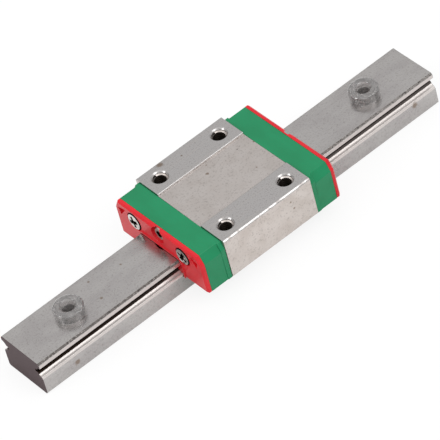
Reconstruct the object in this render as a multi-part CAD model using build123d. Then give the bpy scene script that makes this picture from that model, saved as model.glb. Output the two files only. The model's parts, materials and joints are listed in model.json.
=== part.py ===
from build123d import *
import os
from math import asin, cos, pi, sin, sqrt

# Miniature linear guide: a ground steel rail, a short carriage that rolls on two closed ball circuits,
# and two clear stop plugs pushed into the rail's outer holes.
# Origin: middle of the rail's bottom face. X runs along the rail, Z is up, "near" is -X, "left" is +Y.

# Rail
RAIL_LENGTH = 100.0
RAIL_WIDTH = 12.0
RAIL_HEIGHT = 8.0
RAIL_TOP_CHAMFER = 0.4
RAIL_BOTTOM_CHAMFER = 0.3
RAIL_HOLE_COUNT = 4
RAIL_HOLE_PITCH = 25.0
RAIL_HOLE_DIA = 3.5
COUNTERBORE_DIA = 6.0
COUNTERBORE_DEPTH = 4.5
LIP_CHAMFER_WIDTH = 0.25
LIP_CHAMFER_HEIGHT = 0.5

# Balls and raceways
BALL_DIA = 2.381
BALL_CENTRE_HEIGHT = 5.6
GROOVE_CONFORMITY = 0.52
GOTHIC_OFFSET = 0.035
RELIEF_WIDTH = 0.7
RELIEF_DEPTH = 1.85
RETURN_SPACING = 4.0
RETURN_BORE_DIA = 2.62
CHANNEL_WALL_COUNT = 6
TURN_SIDE_COUNT = 12

# Steel block of the carriage
CARRIAGE_REST_X = 1.9
BLOCK_LENGTH = 21.7
CARRIAGE_WIDTH = 27.0
GUIDE_HEIGHT = 13.0
BOTTOM_GAP = 3.0
BLOCK_CHAMFER = 0.3
BLOCK_BOTTOM_CHAMFER = 0.7
RAIL_SIDE_GAP = 0.35
RAIL_TOP_GAP = 0.45
BLOCK_CORNER_RADIUS = 0.4
PAD_GAP_WIDTH = 13.0
PAD_GAP_DEPTH = 0.45
MOUNT_SPACING_X = 15.0
MOUNT_SPACING_Y = 20.0
MOUNT_HOLE_DIA = 3.0
MOUNT_HOLE_DEPTH = 3.5
MOUNT_COUNTERSINK = 0.35

# End caps
CAP_LENGTH = 5.1
CAP_SIDE_STEP = 0.3
CAP_TOP_STEP = 0.4
CAP_BOTTOM_STEP = 0.5
CAP_CORNER_WIDTH = 1.1
CAP_CORNER_HEIGHT = 1.9
CAP_LIP_LENGTH = 1.0
CAP_LIP_STEP = 0.12
CAP_LIP_CORNER_WIDTH = 0.8
CAP_LIP_CORNER_HEIGHT = 1.5
CAP_RAIL_GAP = 0.55
CAP_MOUTH_RADIUS = 0.4

# Turning guides inside the end caps
GUIDE_PIECE_HEIGHT = 3.4
GUIDE_SEAT_GAP = 0.04

# End seals
SEAL_THICKNESS = 0.95
SEAL_RIM_CHAMFER = 0.35
SEAL_RAIL_GAP = 0.12
SEAL_LIP_WIDTH = 0.45
SEAL_LIP_HEIGHT = 0.2
SEAL_BOSS_DIA = 5.0
SEAL_BOSS_DEPTH = 0.8
SEAL_FLOOR = 0.4
SEAL_RECESS_DEPTH = 0.55
SEAL_RECESS_WALL = 0.3
SEAL_RECESS_MARGIN = 1.1
SEAL_RECESS_DROP = 0.5
SEAL_RECESS_HEIGHT = 2.2
SEAL_BOSS_GAP = 0.05

# Cap screws, M2 with a pan head
SCREW_SPACING_Y = 14.8
SCREW_DROP = 2.7
SCREW_DIA = 2.0
SCREW_LENGTH = 7.0
SCREW_HEAD_DIA = 3.7
SCREW_HEAD_HEIGHT = 1.15
SCREW_THREAD_GAP = 0.03
SCREW_PASS_GAP = 0.1
SCREW_HEAD_GAP = 0.2
SCREW_TIP_GAP = 0.2

# Grease port and its set screw
PORT_DROP = 1.75
PORT_DIA = 3.0
PORT_GAP = 0.05
PORT_CUP_DIA = 3.7
PORT_CUP_DEPTH = 0.65
PORT_FEED_DIA = 1.2
GREASE_GROOVE_WIDTH = 0.7
GREASE_GROOVE_DEPTH = 0.4
GREASE_GROOVE_DETOUR = 2.2
SET_SCREW_LENGTH = 3.0
SET_SCREW_OUTSTAND = 0.5
SET_SCREW_SOCKET = 1.5
SET_SCREW_SOCKET_DEPTH = 1.2

# Retainer wires
WIRE_DIA = 0.4
WIRE_FLAT_COUNT = 8
WIRE_BALL_GAP = 0.03
WIRE_BEND = 0.4
WIRE_HOOK_LENGTH = 3.4
WIRE_SLOT_GAP = 0.05

# Stop plugs
PLUG_COLLAR_DIA = 6.2
PLUG_COLLAR_HEIGHT = 2.1
PLUG_EDGE = 0.5
PLUG_STEM_GAP = 0.05
PLUG_STEM_LENGTH = 3.0
PLUG_BORE_DIA = 2.6
PLUG_MOUTH_DIA = 3.6

# Values that follow from the sizes above
RAIL_HALF = RAIL_WIDTH / 2
BALL_RADIUS = BALL_DIA / 2
GROOVE_RADIUS = GROOVE_CONFORMITY * BALL_DIA
BLOCK_END = BLOCK_LENGTH / 2
CAP_END = BLOCK_END + CAP_LENGTH
SEAL_END = CAP_END + SEAL_THICKNESS
OUTER_HOLE_X = RAIL_HOLE_PITCH * (RAIL_HOLE_COUNT - 1) / 2
BLOCK_MOUTH_HALF = RAIL_HALF + RAIL_SIDE_GAP
BLOCK_MOUTH_TOP = RAIL_HEIGHT + RAIL_TOP_GAP
CAP_HALF = CARRIAGE_WIDTH / 2 - CAP_SIDE_STEP
CAP_TOP = GUIDE_HEIGHT - CAP_TOP_STEP
CAP_BOTTOM = BOTTOM_GAP + CAP_BOTTOM_STEP
SCREW_HEIGHT = CAP_TOP - SCREW_DROP
PORT_HEIGHT = CAP_TOP - PORT_DROP
CAP_MOUTH_HALF = RAIL_HALF + CAP_RAIL_GAP
CAP_MOUTH_TOP = RAIL_HEIGHT + CAP_RAIL_GAP
SEAT_HOLE_DIA = SCREW_HEAD_DIA + 2 * SCREW_HEAD_GAP
RETURN_Y = RAIL_HALF + RETURN_SPACING
TURN_RADIUS = RETURN_SPACING / 2
TURN_Y = RAIL_HALF + TURN_RADIUS
WIRE_Y = RAIL_HALF - BALL_RADIUS - WIRE_BALL_GAP - WIRE_DIA / 2
WIRE_HOOK_X = CAP_END - WIRE_DIA / 2 - WIRE_SLOT_GAP
SCREW_SEAT_X = CAP_END - SEAL_BOSS_DEPTH + SEAL_FLOOR

ENDS = {"near": -1, "far": 1}
SIDES = {"left": 1, "right": -1}


def across(sketch, x, length):
    """Extrude a section drawn in Y and Z from x along +X."""
    return extrude(Plane.YZ.offset(x) * sketch, amount=length)


def gothic_groove(y):
    """Section of one pointed-arch ball groove centred at y: two arcs that cross at its deepest line."""
    low = Pos(y, BALL_CENTRE_HEIGHT - GOTHIC_OFFSET) * Circle(GROOVE_RADIUS)
    high = Pos(y, BALL_CENTRE_HEIGHT + GOTHIC_OFFSET) * Circle(GROOVE_RADIUS)
    return low & high


def rod_x(dia, x, y, z, length):
    """A cylinder along +X that starts at x."""
    return Plane((x, y, z), x_dir=(0, 1, 0), z_dir=(1, 0, 0)) * Cylinder(
        dia / 2, length, align=(Align.CENTER, Align.CENTER, Align.MIN)
    )


def rail_section():
    """The rail's outline with its two ball grooves, wire reliefs and broken edges."""
    half = [
        (0, 0),
        (RAIL_HALF - RAIL_BOTTOM_CHAMFER, 0),
        (RAIL_HALF, RAIL_BOTTOM_CHAMFER),
        (RAIL_HALF, RAIL_HEIGHT - RAIL_TOP_CHAMFER),
        (RAIL_HALF - RAIL_TOP_CHAMFER, RAIL_HEIGHT),
        (0, RAIL_HEIGHT),
    ]
    right = make_face(Polyline(*half, close=True))
    lip_y = RAIL_HALF - LIP_CHAMFER_WIDTH
    lip_drop = sqrt(GROOVE_RADIUS**2 - LIP_CHAMFER_WIDTH**2)
    lip_z = BALL_CENTRE_HEIGHT + GOTHIC_OFFSET - lip_drop
    lip = make_face(
        Polyline(
            (lip_y, BALL_CENTRE_HEIGHT),
            (lip_y, lip_z),
            (RAIL_HALF, lip_z - LIP_CHAMFER_HEIGHT),
            (RAIL_HALF + LIP_CHAMFER_WIDTH, lip_z - LIP_CHAMFER_HEIGHT),
            (RAIL_HALF + LIP_CHAMFER_WIDTH, BALL_CENTRE_HEIGHT),
            close=True,
        )
    )
    relief = Pos(RAIL_HALF, BALL_CENTRE_HEIGHT) * Rectangle(2 * RELIEF_DEPTH, RELIEF_WIDTH)
    right = right - gothic_groove(RAIL_HALF) - lip - relief
    return right + mirror(right, about=Plane.YZ)


def rail_bolt_hole(x):
    """Through hole and counterbore for one fixing screw."""
    through = Cylinder(RAIL_HOLE_DIA / 2, RAIL_HEIGHT, align=(Align.CENTER, Align.CENTER, Align.MIN))
    seat = Pos(0, 0, RAIL_HEIGHT) * Cylinder(
        COUNTERBORE_DIA / 2, COUNTERBORE_DEPTH, align=(Align.CENTER, Align.CENTER, Align.MAX)
    )
    return Pos(x, 0, 0) * (through + seat)


def make_rail():
    rail = across(rail_section(), -RAIL_LENGTH / 2, RAIL_LENGTH)
    for index in range(RAIL_HOLE_COUNT):
        rail -= rail_bolt_hole(index * RAIL_HOLE_PITCH - OUTER_HOLE_X)
    return rail


def block_section():
    """The block's outline: two ground pads on top, a mouth for the rail with its raceways, return bores."""
    half = CARRIAGE_WIDTH / 2
    edge = BLOCK_CHAMFER
    foot = BLOCK_BOTTOM_CHAMFER
    floor = GUIDE_HEIGHT - PAD_GAP_DEPTH
    right = make_face(
        Polyline(
            (0, BOTTOM_GAP),
            (half - foot, BOTTOM_GAP),
            (half, BOTTOM_GAP + foot),
            (half, GUIDE_HEIGHT - edge),
            (half - edge, GUIDE_HEIGHT),
            (PAD_GAP_WIDTH / 2, GUIDE_HEIGHT),
            (PAD_GAP_WIDTH / 2, floor),
            (0, floor),
            close=True,
        )
    )
    mouth = mouth_section(BLOCK_MOUTH_HALF, BLOCK_MOUTH_TOP, BLOCK_CORNER_RADIUS)
    bore = Pos(RETURN_Y, BALL_CENTRE_HEIGHT) * Circle(RETURN_BORE_DIA / 2)
    right = right - mouth - gothic_groove(RAIL_HALF) - bore
    return right + mirror(right, about=Plane.YZ)


def mouth_section(half_width, top, radius):
    """An opening over the rail with rounded upper corners, open below."""
    return RectangleRounded(2 * half_width, 2 * top, radius)


def mount_hole(x, y):
    """One blind threaded mounting hole, drawn at its thread diameter, with a countersink."""
    radius = MOUNT_HOLE_DIA / 2
    sink = MOUNT_COUNTERSINK
    bottom = GUIDE_HEIGHT - MOUNT_HOLE_DEPTH
    profile = make_face(
        Polyline(
            (0, GUIDE_HEIGHT),
            (radius + sink, GUIDE_HEIGHT),
            (radius, GUIDE_HEIGHT - sink),
            (radius, bottom),
            (0, bottom),
            close=True,
        )
    )
    return Pos(x, y, 0) * revolve(Plane.XZ * profile, Axis.Z)


def make_carriage_block():
    block = across(block_section(), -BLOCK_END, BLOCK_LENGTH)
    for x in (-MOUNT_SPACING_X / 2, MOUNT_SPACING_X / 2):
        for y in (-MOUNT_SPACING_Y / 2, MOUNT_SPACING_Y / 2):
            block -= mount_hole(x, y)
    tip = SCREW_SEAT_X - SCREW_LENGTH - SCREW_TIP_GAP
    for side in SIDES.values():
        hole = rod_x(
            SCREW_DIA + 2 * SCREW_THREAD_GAP, tip, side * SCREW_SPACING_Y / 2, SCREW_HEIGHT, BLOCK_END - tip
        )
        block = block - hole - mirror(hole, about=Plane.YZ)
    return block


def cap_outline(grow, corner_width, corner_height):
    """Outline of an end cap without its mouth, with its two sides moved outward by the given step."""
    half = CAP_HALF + grow
    right = make_face(
        Polyline(
            (0, CAP_BOTTOM),
            (half, CAP_BOTTOM),
            (half, CAP_TOP - corner_height),
            (half - corner_width, CAP_TOP),
            (0, CAP_TOP),
            close=True,
        )
    )
    return right + mirror(right, about=Plane.YZ)


def turn_ring(radius):
    """The many-sided ring, with its flats at the given radius, that a turn's pieces follow."""
    return RegularPolygon(radius, TURN_SIDE_COUNT, major_radius=False)


def turn_channel(side):
    """The ring-shaped ball channel, with flat-sided walls, that joins a raceway to its return bore."""
    path = turn_ring(TURN_RADIUS).wire()
    wall = RegularPolygon(RETURN_BORE_DIA / 2, CHANNEL_WALL_COUNT, major_radius=False)
    ring = sweep(Plane(path @ 0, x_dir=(0, 0, 1), z_dir=path % 0) * wall, path, transition=Transition.RIGHT)
    return Pos(BLOCK_END, side * TURN_Y, BALL_CENTRE_HEIGHT) * ring


def turn_core(side, gap):
    """The seat of a turning guide, or with no gap the guide itself before its channel is cut."""
    core = extrude(turn_ring(TURN_RADIUS + gap), amount=GUIDE_PIECE_HEIGHT / 2 + gap, both=True)
    return Pos(BLOCK_END, side * TURN_Y, BALL_CENTRE_HEIGHT) * core


def grease_groove():
    """Shallow groove on the cap's inner face that leads grease from the port to both turns."""
    side_y = SCREW_SPACING_Y / 2 + GREASE_GROOVE_DETOUR
    turn_top = BALL_CENTRE_HEIGHT + RETURN_BORE_DIA / 2
    route = Polyline(
        (-side_y, turn_top),
        (-side_y, PORT_HEIGHT),
        (side_y, PORT_HEIGHT),
        (side_y, turn_top),
    )
    return across(trace(route, GREASE_GROOVE_WIDTH), BLOCK_END, GREASE_GROOVE_DEPTH)


def make_end_cap():
    """The far end cap: it turns the balls round, and carries the seal, the screws and the grease port."""
    cap = across(cap_outline(0, CAP_CORNER_WIDTH, CAP_CORNER_HEIGHT), BLOCK_END, CAP_LENGTH)
    lip = cap_outline(CAP_LIP_STEP, CAP_LIP_CORNER_WIDTH, CAP_LIP_CORNER_HEIGHT)
    cap += across(lip, BLOCK_END, CAP_LIP_LENGTH)
    mouth = mouth_section(CAP_MOUTH_HALF, CAP_MOUTH_TOP, CAP_MOUTH_RADIUS)
    cap -= across(mouth, BLOCK_END, CAP_LENGTH)
    for side in SIDES.values():
        y = side * SCREW_SPACING_Y / 2
        cap -= turn_channel(side)
        cap -= turn_core(side, GUIDE_SEAT_GAP)
        cap -= rod_x(SCREW_DIA + 2 * SCREW_PASS_GAP, BLOCK_END, y, SCREW_HEIGHT, CAP_LENGTH)
        boss = SEAL_BOSS_DIA + 2 * SEAL_BOSS_GAP
        depth = SEAL_BOSS_DEPTH + SEAL_BOSS_GAP
        cap -= rod_x(boss, CAP_END - depth, y, SCREW_HEIGHT, depth)
        slot = WIRE_DIA + 2 * WIRE_SLOT_GAP
        reach = WIRE_Y + WIRE_HOOK_LENGTH + WIRE_SLOT_GAP
        cap -= Pos(CAP_END - slot / 2, side * reach / 2, BALL_CENTRE_HEIGHT) * Box(slot, reach, slot)
    port_depth = SET_SCREW_LENGTH - SET_SCREW_OUTSTAND
    cap -= rod_x(PORT_DIA + 2 * PORT_GAP, CAP_END - port_depth, 0, PORT_HEIGHT, port_depth)
    cap -= rod_x(PORT_FEED_DIA, BLOCK_END, 0, PORT_HEIGHT, CAP_LENGTH - port_depth)
    return cap - grease_groove()


def make_turn_guide(side):
    """Half-round guide in the far cap that forms the inner wall of one ball turn."""
    guide = turn_core(side, 0) - turn_channel(side)
    room = Pos(BLOCK_END, side * CAP_MOUTH_HALF, 0) * Box(
        2 * TURN_RADIUS,
        2 * TURN_RADIUS,
        GUIDE_HEIGHT,
        align=(Align.MIN, Align.MIN if side > 0 else Align.MAX, Align.MIN),
    )
    return guide & room


def seal_mouth():
    """The wiper's opening: the rail's outline with a running gap, with a tongue in each ball groove."""
    half = RAIL_HALF + SEAL_RAIL_GAP
    top = RAIL_HEIGHT + SEAL_RAIL_GAP
    right = make_face(
        Polyline(
            (0, 0),
            (half, 0),
            (half, top - RAIL_TOP_CHAMFER),
            (half - RAIL_TOP_CHAMFER, top),
            (0, top),
            close=True,
        )
    )
    right -= Pos(RAIL_HALF, BALL_CENTRE_HEIGHT) * Circle(GROOVE_RADIUS - SEAL_RAIL_GAP)
    return right + mirror(right, about=Plane.YZ)


def seal_recess(side):
    """Three-cornered recess in an upper outer corner of the seal's face."""
    inner = SCREW_SPACING_Y / 2 + SEAT_HOLE_DIA / 2 + SEAL_RECESS_WALL
    outer = CAP_HALF - SEAL_RECESS_MARGIN
    top = CAP_TOP - SEAL_RECESS_MARGIN
    return make_face(
        Polyline(
            (side * inner, top),
            (side * outer, top - SEAL_RECESS_DROP),
            (side * (outer - SEAL_RECESS_DROP), top - SEAL_RECESS_HEIGHT),
            close=True,
        )
    )


def make_end_seal():
    """The far end seal: a thin plate with a wiper mouth and three cups, for the screws and the grease port."""
    plate = across(cap_outline(0, CAP_CORNER_WIDTH, CAP_CORNER_HEIGHT), CAP_END, SEAL_THICKNESS)
    plate = chamfer(plate.faces().sort_by(Axis.X)[-1].edges(), SEAL_RIM_CHAMFER)
    lip_half = RAIL_HALF + SEAL_RAIL_GAP + SEAL_LIP_WIDTH
    lip_top = RAIL_HEIGHT + SEAL_RAIL_GAP + SEAL_LIP_WIDTH
    lip = mouth_section(lip_half, lip_top, SEAL_LIP_WIDTH) & Pos(0, CAP_BOTTOM) * Rectangle(
        CARRIAGE_WIDTH, GUIDE_HEIGHT, align=(Align.CENTER, Align.MIN)
    )
    plate += across(lip, SEAL_END, SEAL_LIP_HEIGHT)
    cap_mouth = mouth_section(CAP_MOUTH_HALF, CAP_MOUTH_TOP, CAP_MOUTH_RADIUS)
    length = SEAL_BOSS_DEPTH + SEAL_THICKNESS + SEAL_LIP_HEIGHT
    for side in SIDES.values():
        y = side * SCREW_SPACING_Y / 2
        boss = rod_x(SEAL_BOSS_DIA, CAP_END - SEAL_BOSS_DEPTH, y, SCREW_HEIGHT, SEAL_BOSS_DEPTH)
        plate += boss - across(cap_mouth, CAP_END - SEAL_BOSS_DEPTH, SEAL_BOSS_DEPTH)
    plate -= across(seal_mouth(), CAP_END - SEAL_BOSS_DEPTH, length)
    for side in SIDES.values():
        y = side * SCREW_SPACING_Y / 2
        plate -= rod_x(SEAT_HOLE_DIA, SCREW_SEAT_X, y, SCREW_HEIGHT, length)
        plate -= rod_x(SCREW_DIA + 2 * SCREW_PASS_GAP, CAP_END - SEAL_BOSS_DEPTH, y, SCREW_HEIGHT, length)
        plate -= across(seal_recess(side), SEAL_END - SEAL_RECESS_DEPTH, SEAL_RECESS_DEPTH)
    plate -= rod_x(PORT_DIA + 2 * PORT_GAP, CAP_END, 0, PORT_HEIGHT, SEAL_THICKNESS)
    return plate - rod_x(PORT_CUP_DIA, SEAL_END - PORT_CUP_DEPTH, 0, PORT_HEIGHT, PORT_CUP_DEPTH)


def make_cap_screw(side):
    """Pan-head screw of the far end that clamps the seal and the cap to the block."""
    y = side * SCREW_SPACING_Y / 2
    head = rod_x(SCREW_HEAD_DIA, SCREW_SEAT_X, y, SCREW_HEIGHT, SCREW_HEAD_HEIGHT)
    return head + rod_x(SCREW_DIA, SCREW_SEAT_X - SCREW_LENGTH, y, SCREW_HEIGHT, SCREW_LENGTH)


def make_grease_screw():
    """Hexagon-socket set screw that closes the far grease port."""
    outer = CAP_END + SET_SCREW_OUTSTAND
    body = rod_x(PORT_DIA, outer - SET_SCREW_LENGTH, 0, PORT_HEIGHT, SET_SCREW_LENGTH)
    socket = Pos(0, PORT_HEIGHT) * RegularPolygon(SET_SCREW_SOCKET / 2, 6, major_radius=False)
    return body - across(socket, outer - SET_SCREW_SOCKET_DEPTH, SET_SCREW_SOCKET_DEPTH)


def make_retainer_wire(side):
    """Bent wire that keeps the loaded balls in the block, hooked into a slot of each end cap."""
    half = [
        (0, WIRE_Y),
        (WIRE_HOOK_X - WIRE_BEND, WIRE_Y),
        (WIRE_HOOK_X, WIRE_Y + WIRE_BEND),
        (WIRE_HOOK_X, WIRE_Y + WIRE_HOOK_LENGTH),
    ]
    other_half = [(-x, y) for x, y in reversed(half[1:])]
    path = Plane.XY.offset(BALL_CENTRE_HEIGHT) * Polyline(*other_half, *half[1:])
    section = Plane(path @ 0, z_dir=path % 0) * RegularPolygon(WIRE_DIA / 2, WIRE_FLAT_COUNT)
    wire = sweep(section, path, transition=Transition.RIGHT)
    return wire if side > 0 else mirror(wire, about=Plane.XZ)


def circuit_place(distance):
    """The stretch and the place of a ball that far along one circuit, with the raceway at y = RAIL_HALF."""
    turn = pi * TURN_RADIUS
    if distance < BLOCK_LENGTH:
        return "loaded", distance - BLOCK_END, RAIL_HALF
    distance -= BLOCK_LENGTH
    if distance < turn:
        angle = distance / TURN_RADIUS
        return "turn_far", BLOCK_END + TURN_RADIUS * sin(angle), TURN_Y - TURN_RADIUS * cos(angle)
    distance -= turn
    if distance < BLOCK_LENGTH:
        return "return", BLOCK_END - distance, RETURN_Y
    angle = (distance - BLOCK_LENGTH) / TURN_RADIUS
    return "turn_near", -BLOCK_END - TURN_RADIUS * sin(angle), TURN_Y + TURN_RADIUS * cos(angle)


def make_ball():
    """One ball, drawn with twelve flats whose corners lie on its true diameter."""
    square = RegularPolygon(BALL_RADIUS, 4)
    planes = (Plane.XY, Plane.YZ, Plane.XZ)
    bars = [extrude(plane * square, amount=BALL_RADIUS, both=True) for plane in planes]
    return bars[0] & bars[1] & bars[2]


def make_balls(side):
    """All balls of one circuit, evenly spaced, as groups named for the stretch they lie in."""
    circuit = 2 * (BLOCK_LENGTH + pi * TURN_RADIUS)
    turn_pitch = 2 * TURN_RADIUS * asin(BALL_DIA / (2 * TURN_RADIUS))
    count = int(circuit / turn_pitch)
    ball = make_ball()
    groups = {}
    for index in range(count):
        stretch, x, y = circuit_place((BLOCK_END + index * circuit / count) % circuit)
        groups.setdefault(stretch, []).append(Pos(x, side * y, BALL_CENTRE_HEIGHT) * ball)
    return groups


def make_stop_plug(x):
    """Clear push-in plug: a rounded collar on the rail, and a hollow stem in the counterbore."""
    collar = PLUG_COLLAR_DIA / 2
    stem = COUNTERBORE_DIA / 2 - PLUG_STEM_GAP
    bore = PLUG_BORE_DIA / 2
    mouth = PLUG_MOUTH_DIA / 2
    top = RAIL_HEIGHT + PLUG_COLLAR_HEIGHT
    profile = make_face(
        Polyline(
            (bore, RAIL_HEIGHT - PLUG_STEM_LENGTH),
            (stem, RAIL_HEIGHT - PLUG_STEM_LENGTH),
            (stem, RAIL_HEIGHT),
            (collar, RAIL_HEIGHT),
            (collar, top),
            (mouth, top),
            (bore, top - (mouth - bore)),
            close=True,
        )
    )
    corner = profile.vertices().group_by(Axis.Y)[-1].sort_by(Axis.X)[-1]
    profile = chamfer(corner, PLUG_EDGE)
    return Pos(x, 0, 0) * revolve(Plane.XZ * profile, Axis.Z)


def at_end(part, end):
    """The far end's piece as it is, or its mirror image at the near end."""
    return part if end > 0 else mirror(part, about=Plane.YZ)


def make_carriage():
    """Every piece that travels with the carriage, by name, round the carriage's own middle."""
    pieces = {"carriage_block": make_carriage_block()}
    cap = make_end_cap()
    seal = make_end_seal()
    grease_screw = make_grease_screw()
    for end_name, end in ENDS.items():
        pieces[f"end_cap_{end_name}"] = at_end(cap, end)
        pieces[f"end_seal_{end_name}"] = at_end(seal, end)
        pieces[f"grease_screw_{end_name}"] = at_end(grease_screw, end)
        for side_name, side in SIDES.items():
            pieces[f"turn_guide_{end_name}_{side_name}"] = at_end(make_turn_guide(side), end)
            pieces[f"cap_screw_{end_name}_{side_name}"] = at_end(make_cap_screw(side), end)
    for side_name, side in SIDES.items():
        pieces[f"retainer_wire_{side_name}"] = make_retainer_wire(side)
        for stretch, balls in make_balls(side).items():
            pieces[f"balls_{stretch}_{side_name}"] = Compound(balls)
    return {name: Pos(CARRIAGE_REST_X, 0, 0) * piece for name, piece in pieces.items()}


def make_all():
    parts = {"rail": make_rail()}
    parts["stop_plug_near"] = make_stop_plug(-OUTER_HOLE_X)
    parts["stop_plug_far"] = make_stop_plug(OUTER_HOLE_X)
    parts.update(make_carriage())
    return parts


os.makedirs("parts", exist_ok=True)
for node, shape in make_all().items():
    export_step(shape, f"parts/{node}.step")
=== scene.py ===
import json
from math import copysign, cos, hypot, pi, radians, sin

import bmesh
import bpy
from mathutils import Matrix, Vector


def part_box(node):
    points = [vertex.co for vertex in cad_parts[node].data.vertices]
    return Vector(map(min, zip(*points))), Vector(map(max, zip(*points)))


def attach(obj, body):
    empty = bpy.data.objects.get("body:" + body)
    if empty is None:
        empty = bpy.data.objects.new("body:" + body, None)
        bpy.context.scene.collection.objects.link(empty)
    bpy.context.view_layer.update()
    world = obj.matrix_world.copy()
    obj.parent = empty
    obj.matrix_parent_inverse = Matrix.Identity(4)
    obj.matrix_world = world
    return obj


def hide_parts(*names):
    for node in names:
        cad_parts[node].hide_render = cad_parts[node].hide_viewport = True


bl_info = {
    "name": "Miniature Linear Guide",
    "version": (1, 0, 0),
    "blender": (4, 5, 0),
    "location": "View3D > Sidebar > Linear Guide",
    "description": "Builds the finished pieces of a miniature linear guide round its frame",
    "category": "Add Mesh",
}

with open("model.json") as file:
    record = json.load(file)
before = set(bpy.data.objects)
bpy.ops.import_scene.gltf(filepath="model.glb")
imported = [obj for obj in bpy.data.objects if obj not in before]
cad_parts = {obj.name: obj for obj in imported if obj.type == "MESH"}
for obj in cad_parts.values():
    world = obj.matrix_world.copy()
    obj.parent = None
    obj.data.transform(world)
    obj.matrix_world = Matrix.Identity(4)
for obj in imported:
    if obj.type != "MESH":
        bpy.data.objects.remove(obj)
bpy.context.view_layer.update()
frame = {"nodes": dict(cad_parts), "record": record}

MM = 0.001
# Which way the carriage's ends face along X, and the guide's sides along Y
ENDS = {"near": -1, "far": 1}
SIDES = {"left": 1, "right": -1}

# What counts as one point, as flat and as an edge to soften, in a copy of a solid
MERGE_DISTANCE = 0.0001 * MM
FLAT_ANGLE = radians(1)
EDGE_ANGLE = radians(28)
# Edges take a round where they and their neighbours are longer than this many times its width
EDGE_ROOM = 1.6
# Faces that meet at more than this are shaded with a sharp edge between them
SHARP_ANGLE = radians(50)

# Steps round a turned piece, in a turning guide's channel, in a wire's bend and in one turn of a thread
TURN_STEPS = 64
CHANNEL_STEPS = 12
BEND_STEPS = 8
THREAD_STEPS = 24
# Subdivisions of a ball, and sides of a wire
BALL_LEVEL = 3
WIRE_SIDES = 16
# Segments in the rounds of small edges, of the pads' inner edges, and of a plug's collar and mouth
EDGE_STEPS = 2
PAD_STEPS = 4
COLLAR_STEPS = 6
MOUTH_STEPS = 3
# The round on a plug's mouth
MOUTH_ROUND = 0.12 * MM

# Points along a pan head's outline, and the power that makes it: 1 is an ellipse, less is squarer
HEAD_STEPS = 14
PAN_SHAPE = 2 / 3
# How far the cross cutter stands over the head, and its foot's width as a share of its top's
CUTTER_OVER = 0.2 * MM
CROSS_TAPER = 0.5

# Half of a thread ridge's width, and the depths of both screws' threads, as shares of the pitch
THREAD_FLANK = 0.42
CAP_THREAD_DEPTH = 0.6
GREASE_THREAD_DEPTH = 0.5
# How far below the pads the mounting threads start and end
MOUNT_THREAD_FOOT = 3.45 * MM
MOUNT_THREAD_TOP = 0.4 * MM
# The bare lengths at a cap screw's tip and under its head
BARE_TIP = 0.1 * MM
BARE_NECK = 0.3 * MM


def linear(hex_colour):
    """An sRGB hex colour as linear red, green, blue and alpha."""
    channels = [int(hex_colour[start:start + 2], 16) / 255 for start in (1, 3, 5)]
    return [c / 12.92 if c <= 0.04045 else ((c + 0.055) / 1.055) ** 2.4 for c in channels] + [1.0]


def length(name, description, millimetres):
    """A length that the user can change, given in millimetres and kept in metres."""
    return bpy.props.FloatProperty(
        name=name, description=description, default=millimetres * MM, min=0.0, unit="LENGTH", precision=5
    )


def colour(name, description, hex_colour):
    """A colour that the user can change."""
    return bpy.props.FloatVectorProperty(
        name=name, description=description, default=linear(hex_colour),
        size=4, subtype="COLOR", min=0.0, max=1.0,
    )


class GuideSizes(bpy.types.PropertyGroup):
    """Sizes of the finish that the frame doesn't give."""

    rail_edge: length("Rail edge", "Round on the ground edges of the rail", 0.06)
    block_edge: length("Block edge", "Round on the ground edges of the block", 0.08)
    channel_edge: length("Channel edge", "Round on the pads' edges beside the channel", 0.2)
    cap_edge: length("Cap edge", "Round on the moulded edges of the end caps", 0.12)
    seal_edge: length("Seal edge", "Round on the moulded edges of the seals", 0.06)
    ball_diameter: length("Ball diameter", "Diameter of the rolling balls", 2.381)
    wire_diameter: length("Wire diameter", "Diameter of the retainer wire", 0.4)
    wire_bend: length("Wire bend", "Radius of the wire's bends on its middle line", 0.4)
    guide_radius: length("Guide radius", "Radius of the half-round turning guides", 2.0)
    channel_radius: length("Channel radius", "Radius of the ball channel in a turning guide", 1.31)
    mount_pitch: length("Mount thread pitch", "Pitch of the threads in the carriage's mounting holes", 0.5)
    mount_depth: length("Mount thread depth", "Depth of the threads in the carriage's mounting holes", 0.26)
    plug_stem: length("Plug stem", "Diameter of the plug's stem in the counterbore", 5.9)
    plug_bore: length("Plug bore", "Diameter of the plug's bore", 2.6)
    plug_mouth: length("Plug mouth", "Diameter of the funnel at the plug's top", 3.6)
    plug_round: length("Plug round", "Round on the collar's upper edge", 0.5)
    screw_shank: length("Screw shank", "Diameter over the cap screw's thread", 2.0)
    screw_pitch: length("Screw pitch", "Pitch of the cap screw's thread", 0.4)
    screw_head: length("Screw head", "Height of the frame's flat head on the cap screw", 1.15)
    screw_round: length("Screw round", "Height of the round at the head's rim", 0.25)
    screw_crown: length("Screw crown", "Rise of the head's middle above the frame's flat head", 0.45)
    cross_span: length("Cross span", "Width of the cross recess over its wings", 3.0)
    cross_wing: length("Cross wing", "Thickness of one wing of the cross recess", 0.95)
    cross_depth: length("Cross depth", "Depth of the cross recess", 0.9)
    grease_pitch: length("Grease screw pitch", "Pitch of the grease screw's thread", 0.5)
    socket_width: length("Socket width", "Width over flats of the grease screw's socket", 1.5)
    socket_depth: length("Socket depth", "Depth of the grease screw's socket", 1.2)


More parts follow.
